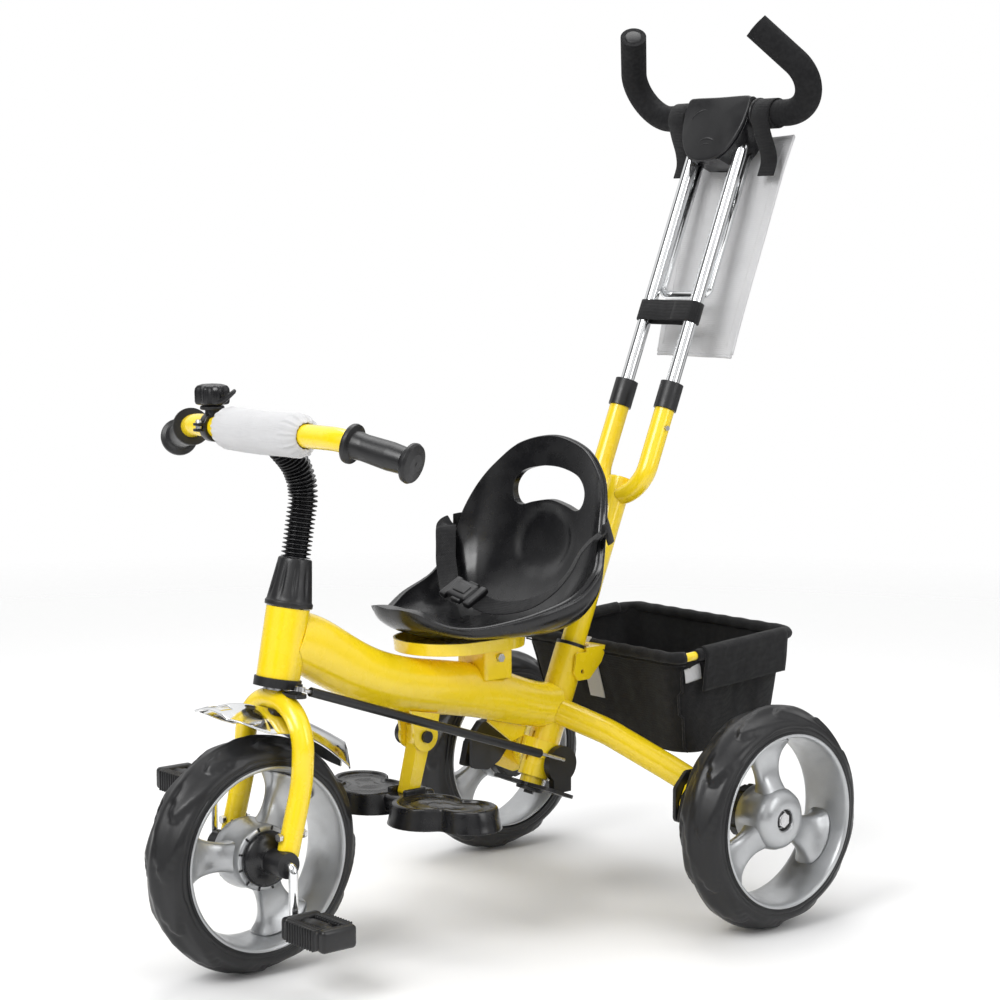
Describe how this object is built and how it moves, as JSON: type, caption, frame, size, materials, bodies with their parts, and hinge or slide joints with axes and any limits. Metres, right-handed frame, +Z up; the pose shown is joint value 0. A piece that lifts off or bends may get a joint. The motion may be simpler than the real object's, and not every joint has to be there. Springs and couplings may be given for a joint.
{
  "type": "children's tricycle",
  "caption": "Children's pedal tricycle with a steering push handle, bucket seat with lap belt, folding footrest, rear fabric basket and hanging bag.",
  "frame": {"origin": "on the ground, in the middle of the tricycle's outline", "axes": "+Z up, -Y forwards, +X to the rider's left"},
  "size_m": [0.5292, 0.841, 1.0115],
  "materials": {
    "yellow_paint": "gloss powder coat",
    "black_plastic": "satin",
    "black_gloss": "semi-gloss",
    "silver_plastic": "satin silver paint",
    "chrome": "bright",
    "steel": "zinc plated",
    "tyre_foam": "satin",
    "grey_fabric": "woven polyester",
    "black_fabric": "woven polyester",
    "handle_foam": "matt foam"
  },
  "bodies": {
    "frame": {"head_tube": "yellow_paint", "backbone": "yellow_paint", "seat_tube": "yellow_paint", "rear_stays": "yellow_paint", "gusset": "yellow_paint", "seat_plate": "yellow_paint", "footrest_hanger": "yellow_paint", "basket_carrier": "yellow_paint", "tube_bushes": "black_plastic", "rear_axles": "steel", "frame_bolts": "steel", "footrest_hinge_pin": "black_plastic", "basket": "black_fabric", "seat_shell": "black_gloss", "seat_belt": "black_fabric", "brake_guards": "black_plastic"},
    "steering": {"fork": "yellow_paint", "steerer": "steel", "axle_bushes": "black_plastic", "fork_bolts": "steel", "steering_arm": "black_plastic", "fender": "chrome", "stem_hose": "black_plastic", "headset_cap": "black_gloss", "handlebar": "yellow_paint", "grips": "handle_foam", "handlebar_pad": "grey_fabric", "bell": "black_gloss"},
    "bell_lever": {"bell_lever": "black_gloss"},
    "front_wheel": {"front_tyre": "tyre_foam", "front_rim": "silver_plastic", "clutch_covers": "black_gloss"},
    "crank": {"crank": "chrome"},
    "pedal_left": {"pedal_left": "black_plastic"},
    "pedal_right": {"pedal_right": "black_plastic"},
    "rear_wheel_left": {"rear_tyre_left": "tyre_foam", "rear_rim_left": "silver_plastic", "brake_drum_left": "black_plastic"},
    "rear_wheel_right": {"rear_tyre_right": "tyre_foam", "rear_rim_right": "silver_plastic", "brake_drum_right": "black_plastic"},
    "brake_lever_left": {"brake_lever_left": "black_plastic"},
    "brake_lever_right": {"brake_lever_right": "black_plastic"},
    "push_post": {"push_post": "yellow_paint", "yoke": "yellow_paint", "yoke_sleeves": "black_plastic", "steer_lever": "black_plastic"},
    "snap_button": {"snap_button": "steel"},
    "upper_handle": {"handle_tubes": "chrome", "handle_bar": "steel", "foam_grips": "handle_foam", "handle_hub": "black_gloss", "webbing_straps": "black_fabric", "handle_bag": "grey_fabric"},
    "release_button": {"release_button": "black_plastic"},
    "steering_rod": {"rod_wire": "steel", "rod_sleeve": "black_plastic"},
    "footrest": {"footrest_strut": "yellow_paint", "footrest_trays": "black_gloss"}
  },
  "joints": [
    {"name": "steer", "type": "hinge", "parent": "frame", "child": "steering", "pos_m": [0, -0.2619, 0.3015], "axis": [0, 0.1857, 0.9826], "range_deg": [-30, 30]},
    {"name": "push_steer", "type": "hinge", "parent": "frame", "child": "push_post", "pos_m": [0, 0.0901, 0.15], "axis": [0, 0.3746, 0.9272], "range_deg": [-30, 30]},
    {"name": "rod_swing", "type": "hinge", "parent": "steering", "child": "steering_rod", "pos_m": [0.04, -0.262, 0.3], "axis": [0, 0.1857, 0.9826], "range_deg": [-30, 30]},
    {"name": "front_wheel_spin", "type": "hinge", "parent": "steering", "child": "front_wheel", "pos_m": [0, -0.2955, 0.125], "axis": [1, 0, 0], "continuous": true},
    {"name": "crank_spin", "type": "hinge", "parent": "steering", "child": "crank", "pos_m": [0, -0.2955, 0.125], "axis": [1, 0, 0], "continuous": true},
    {"name": "pedal_left_spin", "type": "hinge", "parent": "crank", "child": "pedal_left", "pos_m": [0.115, -0.2955, 0.068], "axis": [1, 0, 0], "continuous": true},
    {"name": "pedal_right_spin", "type": "hinge", "parent": "crank", "child": "pedal_right", "pos_m": [-0.115, -0.2955, 0.182], "axis": [1, 0, 0], "continuous": true},
    {"name": "rear_wheel_left_spin", "type": "hinge", "parent": "frame", "child": "rear_wheel_left", "pos_m": [0.234, 0.2315, 0.125], "axis": [1, 0, 0], "continuous": true},
    {"name": "rear_wheel_right_spin", "type": "hinge", "parent": "frame", "child": "rear_wheel_right", "pos_m": [-0.234, 0.2315, 0.125], "axis": [1, 0, 0], "continuous": true},
    {"name": "brake_left", "type": "hinge", "parent": "frame", "child": "brake_lever_left", "pos_m": [0.189, 0.1635, 0.16], "axis": [1, 0, 0], "range_deg": [0, 14]},
    {"name": "brake_right", "type": "hinge", "parent": "frame", "child": "brake_lever_right", "pos_m": [-0.189, 0.1635, 0.16], "axis": [1, 0, 0], "range_deg": [0, 14]},
    {"name": "handle_height", "type": "slide", "parent": "push_post", "child": "upper_handle", "axis": [0, 0.3746, 0.9272], "range_m": [-0.02, 0.03]},
    {"name": "handle_release", "type": "slide", "parent": "upper_handle", "child": "release_button", "axis": [0, 0.9272, -0.3746], "range_m": [0, 0.0014], "stiffness_N_per_m": 400},
    {"name": "snap_press", "type": "slide", "parent": "push_post", "child": "snap_button", "axis": [-1, 0, 0], "range_m": [0, 0.0017], "stiffness_N_per_m": 400},
    {"name": "footrest_fold", "type": "hinge", "parent": "frame", "child": "footrest", "pos_m": [0, -0.0765, 0.221], "axis": [1, 0, 0], "range_deg": [0, 45]},
    {"name": "bell_thumb", "type": "hinge", "parent": "steering", "child": "bell_lever", "pos_m": [-0.092, -0.2775, 0.595], "axis": [0, 0, 1], "range_deg": [0, 25], "stiffness_Nm_per_rad": 0.02}
  ],
  "couplings": [
    {"joint": "push_steer", "follows": "steer", "ratio": 1},
    {"joint": "rod_swing", "follows": "steer", "ratio": -1},
    {"joint": "crank_spin", "follows": "front_wheel_spin", "ratio": 1}
  ]
}
